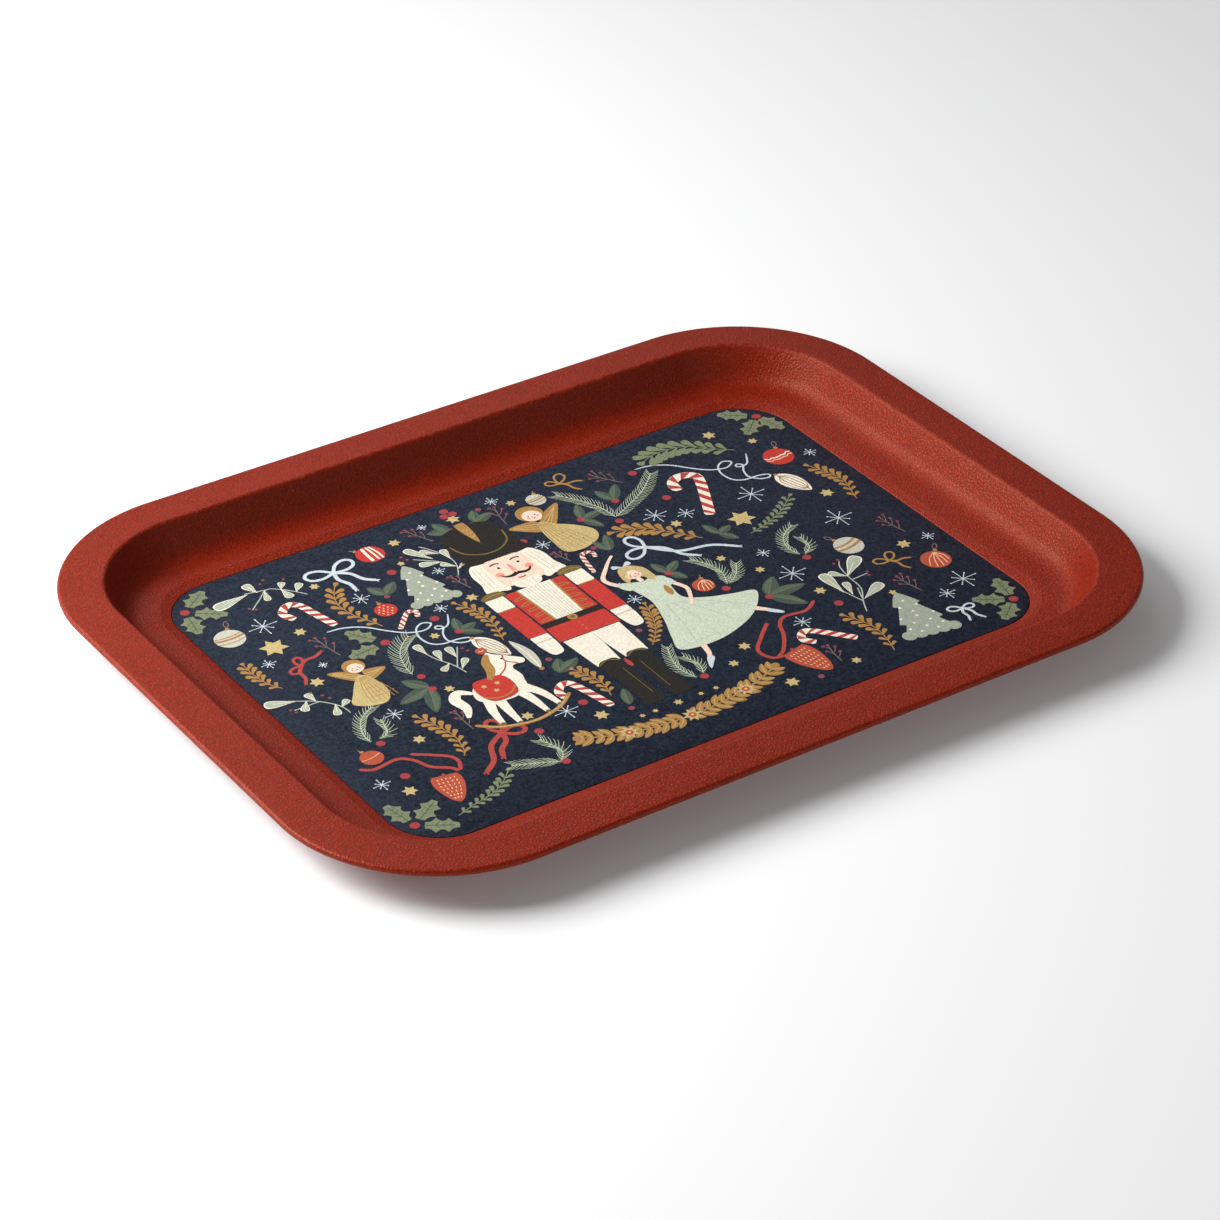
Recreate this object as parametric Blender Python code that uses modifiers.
"""Pressed-steel serving tray: drawn pan, wire in its rolled edge, printed picture panel.

Units are metres, +Z is up and +X runs along the tray. The origin is on the ground under
the middle of the tray, which rests on the underside of its recessed field.
"""

import math

import bmesh
import bpy

# ---- driving dimensions (metres, degrees) ----
MM = 0.001

TRAY_LENGTH = 380 * MM
TRAY_WIDTH = 288 * MM
OUTER_CORNER_RADIUS = 67 * MM
RIM_HEIGHT = 18.3 * MM          # ground to the top of the rim at the bend into the well
SHEET_THICKNESS = 0.4 * MM

RIM_WIDTH = 18.3 * MM           # outer edge to the bend into the well
RIM_DROOP = 2.0                 # how far the rim slopes down towards its outer edge
CURL_RADIUS = 1.5 * MM          # outside of the rolled edge
CURL_SWEEP = 285.0              # how far the sheet is rolled round the wire
CURL_STEPS = 13

WALL_DRAFT = 27.0               # well wall, away from vertical
FLOOR_RISE = 5.0                # floor outside the ramp, sloping up towards the wall
RIM_BEND_RADIUS = 2.0 * MM
FLOOR_BEND_RADIUS = 10 * MM
BEND_STEP = 15.0                # largest turn between two points of a bend

FIELD_INSET = 43.55 * MM        # outer edge to the foot of the pocket that the panel lies in
POCKET_DEPTH = 0.5 * MM
POCKET_STEP_WIDTH = 0.3 * MM
POCKET_LIP_RADIUS = 0.6 * MM
POCKET_FOOT_RADIUS = 0.25 * MM
RAMP_WIDTH = 4.4 * MM           # shallow ramp from the floor down to the pocket's lip
RAMP_DEPTH = 1.3 * MM
RAMP_BEND_RADIUS = 3.0 * MM

WIRE_DIAMETER = 1.6 * MM

PANEL_INSET = 43.7 * MM         # outer edge to the edge of the printed panel
PANEL_THICKNESS = 0.3 * MM
PANEL_GAP = 0.2 * MM            # keeps the panel clear of the sheet below it

CORNER_STEPS = 12               # segments in each rounded corner of the tray
SMOOTH_ANGLE = 40.0             # steeper edges than this stay sharp
WIRE_BEVEL_RESOLUTION = 2

# ---- materials ----
RED_LACQUER = (0.34, 0.030, 0.016, 1.0)
LACQUER_ROUGHNESS = 0.42
WIRE_STEEL = (0.50, 0.50, 0.50, 1.0)
STEEL_ROUGHNESS = 0.35
NAVY_PRINT = (0.020, 0.029, 0.062, 1.0)
PRINT_ROUGHNESS = 0.50
METAL = 1.0
NOT_METAL = 0.0


# ---- scene helpers ----
def clear_scene():
    """Remove every object of the start-up scene."""
    for item in list(bpy.data.objects):
        bpy.data.objects.remove(item, do_unlink=True)


def new_collection(name):
    """Make a collection in the scene and return it."""
    group = bpy.data.collections.new(name)
    bpy.context.scene.collection.children.link(group)
    return group


def new_material(name, colour, roughness, metallic):
    """Make a Principled material with one colour."""
    material = bpy.data.materials.new(name)
    material.use_nodes = True
    shader = material.node_tree.nodes["Principled BSDF"]
    shader.inputs["Base Color"].default_value = colour
    shader.inputs["Roughness"].default_value = roughness
    shader.inputs["Metallic"].default_value = metallic
    return material


def new_closed_curve(name, points, dimensions):
    """Make a closed poly curve through (x, y) points at height 0."""
    curve = bpy.data.curves.new(name, "CURVE")
    curve.dimensions = dimensions
    spline = curve.splines.new("POLY")
    spline.points.add(len(points) - 1)
    for place, point in zip(spline.points, points):
        place.co = (point[0], point[1], 0.0, 1.0)
    spline.use_cyclic_u = True
    return curve


def new_part(name, data, group, material, height=0.0):
    """Put a mesh or a curve in the tray's collection at a height, with its material."""
    part = bpy.data.objects.new(name, data)
    part.location.z = height
    data.materials.append(material)
    group.objects.link(part)
    return part


# ---- outlines and sections ----
def tray_outline(inset):
    """Rounded rectangle that lies `inset` inside the tray's outer edge, as (x, y) points."""
    radius = OUTER_CORNER_RADIUS - inset
    centre_x = TRAY_LENGTH / 2 - OUTER_CORNER_RADIUS
    centre_y = TRAY_WIDTH / 2 - OUTER_CORNER_RADIUS
    corners = [(1, 1, 0), (-1, 1, 90), (-1, -1, 180), (1, -1, 270)]
    points = []
    for side_x, side_y, start in corners:
        for step in range(CORNER_STEPS + 1):
            angle = math.radians(start + 90 * step / CORNER_STEPS)
            x = side_x * centre_x + radius * math.cos(angle)
            y = side_y * centre_y + radius * math.sin(angle)
            points.append((x, y))
    return points


def arc(centre, radius, start, end, steps):
    """Points on an arc from angle start to angle end, in degrees."""
    points = []
    for step in range(steps + 1):
        angle = math.radians(start + (end - start) * step / steps)
        x = centre[0] + radius * math.cos(angle)
        y = centre[1] + radius * math.sin(angle)
        points.append((x, y))
    return points


def rounded_corner(before, corner, after, radius):
    """Points of the arc that rounds the corner between two straight runs."""
    into = (before[0] - corner[0], before[1] - corner[1])
    out = (after[0] - corner[0], after[1] - corner[1])
    into_angle = math.atan2(into[1], into[0])
    out_angle = math.atan2(out[1], out[0])
    opening = (out_angle - into_angle + math.pi) % (2 * math.pi) - math.pi
    half = abs(opening) / 2
    bisector = into_angle + opening / 2
    reach = radius / math.sin(half)
    centre = (corner[0] + reach * math.cos(bisector), corner[1] + reach * math.sin(bisector))
    turn = math.pi - 2 * half
    first = bisector + math.pi + math.copysign(turn / 2, opening)
    last = bisector + math.pi - math.copysign(turn / 2, opening)
    steps = max(2, math.ceil(math.degrees(turn) / BEND_STEP))
    return arc(centre, radius, math.degrees(first), math.degrees(last), steps)


def curl_centre():
    """Centre of the rolled edge as (inset, height), so that the sloping rim meets it smoothly."""
    droop = math.radians(RIM_DROOP)
    drop = (RIM_WIDTH - CURL_RADIUS) * math.tan(droop) + CURL_RADIUS / math.cos(droop)
    return CURL_RADIUS, RIM_HEIGHT - drop


def floor_corner(floor_end):
    """Where the wall's line meets the sloping floor's line, as (inset, height)."""
    draft = math.tan(math.radians(WALL_DRAFT))
    rise = math.tan(math.radians(FLOOR_RISE))
    run = floor_end[0] - RIM_WIDTH - RIM_HEIGHT * draft
    height = (floor_end[1] + run * rise) / (1 - draft * rise)
    return RIM_WIDTH + (RIM_HEIGHT - height) * draft, height


def pan_section():
    """Top face of the sheet from the lip of the rolled edge to the field, as (inset, height)."""
    top = 90 + RIM_DROOP
    curl = arc(curl_centre(), CURL_RADIUS, top + CURL_SWEEP, top, CURL_STEPS)
    rim_corner = (RIM_WIDTH, RIM_HEIGHT)
    lip = (FIELD_INSET - POCKET_STEP_WIDTH, SHEET_THICKNESS + POCKET_DEPTH)
    ramp_top = (lip[0] - RAMP_WIDTH, lip[1] + RAMP_DEPTH)
    foot = (FIELD_INSET, SHEET_THICKNESS)
    field = (OUTER_CORNER_RADIUS, SHEET_THICKNESS)
    wall_foot = floor_corner(ramp_top)
    section = curl
    section += rounded_corner(curl[-1], rim_corner, wall_foot, RIM_BEND_RADIUS)
    section += rounded_corner(rim_corner, wall_foot, ramp_top, FLOOR_BEND_RADIUS)
    section += rounded_corner(wall_foot, ramp_top, lip, RAMP_BEND_RADIUS)
    section += rounded_corner(ramp_top, lip, foot, POCKET_LIP_RADIUS)
    section += rounded_corner(lip, foot, field, POCKET_FOOT_RADIUS)
    return section


# ---- parts ----
def make_pan(group, material):
    """Drawn steel pan in one sheet: pocket for the panel, ramp, floor, wall, rim and rolled edge."""
    mesh = bpy.data.meshes.new("tray_pan")
    surface = bmesh.new()
    last_ring = []
    for inset, height in pan_section():
        corners = [surface.verts.new((x, y, height)) for x, y in tray_outline(inset)]
        ring = [surface.edges.new(pair) for pair in zip(corners, corners[1:] + corners[:1])]
        if last_ring:
            bmesh.ops.bridge_loops(surface, edges=last_ring + ring)
        last_ring = ring
    bmesh.ops.contextual_create(surface, geom=last_ring)
    bmesh.ops.recalc_face_normals(surface, faces=surface.faces)
    surface.to_mesh(mesh)
    surface.free()
    pan = new_part("tray_pan", mesh, group, material)
    sheet = pan.modifiers.new("sheet_thickness", "SOLIDIFY")
    sheet.thickness = SHEET_THICKNESS
    sheet.offset = -1.0
    sheet.use_even_offset = True
    mesh.shade_smooth()
    mesh.set_sharp_from_angle(angle=math.radians(SMOOTH_ANGLE))


def make_edge_wire(group, material):
    """Steel wire that the edge of the pan is rolled round."""
    curve = new_closed_curve("edge_wire", tray_outline(CURL_RADIUS), "3D")
    curve.bevel_depth = WIRE_DIAMETER / 2
    curve.bevel_resolution = WIRE_BEVEL_RESOLUTION
    new_part("edge_wire", curve, group, material, curl_centre()[1])


def make_printed_panel(group, material):
    """Thin printed sheet that lies in the recessed field."""
    curve = new_closed_curve("printed_panel", tray_outline(PANEL_INSET), "2D")
    curve.fill_mode = "BOTH"
    curve.extrude = PANEL_THICKNESS / 2
    underside = SHEET_THICKNESS + PANEL_GAP
    new_part("printed_panel", curve, group, material, underside + PANEL_THICKNESS / 2)


def main():
    """Build the tray from its three pieces."""
    clear_scene()
    tray = new_collection("serving_tray")
    lacquer = new_material("red_lacquer", RED_LACQUER, LACQUER_ROUGHNESS, NOT_METAL)
    steel = new_material("wire_steel", WIRE_STEEL, STEEL_ROUGHNESS, METAL)
    print_face = new_material("navy_print", NAVY_PRINT, PRINT_ROUGHNESS, NOT_METAL)
    make_pan(tray, lacquer)
    make_edge_wire(tray, steel)
    make_printed_panel(tray, print_face)


main()
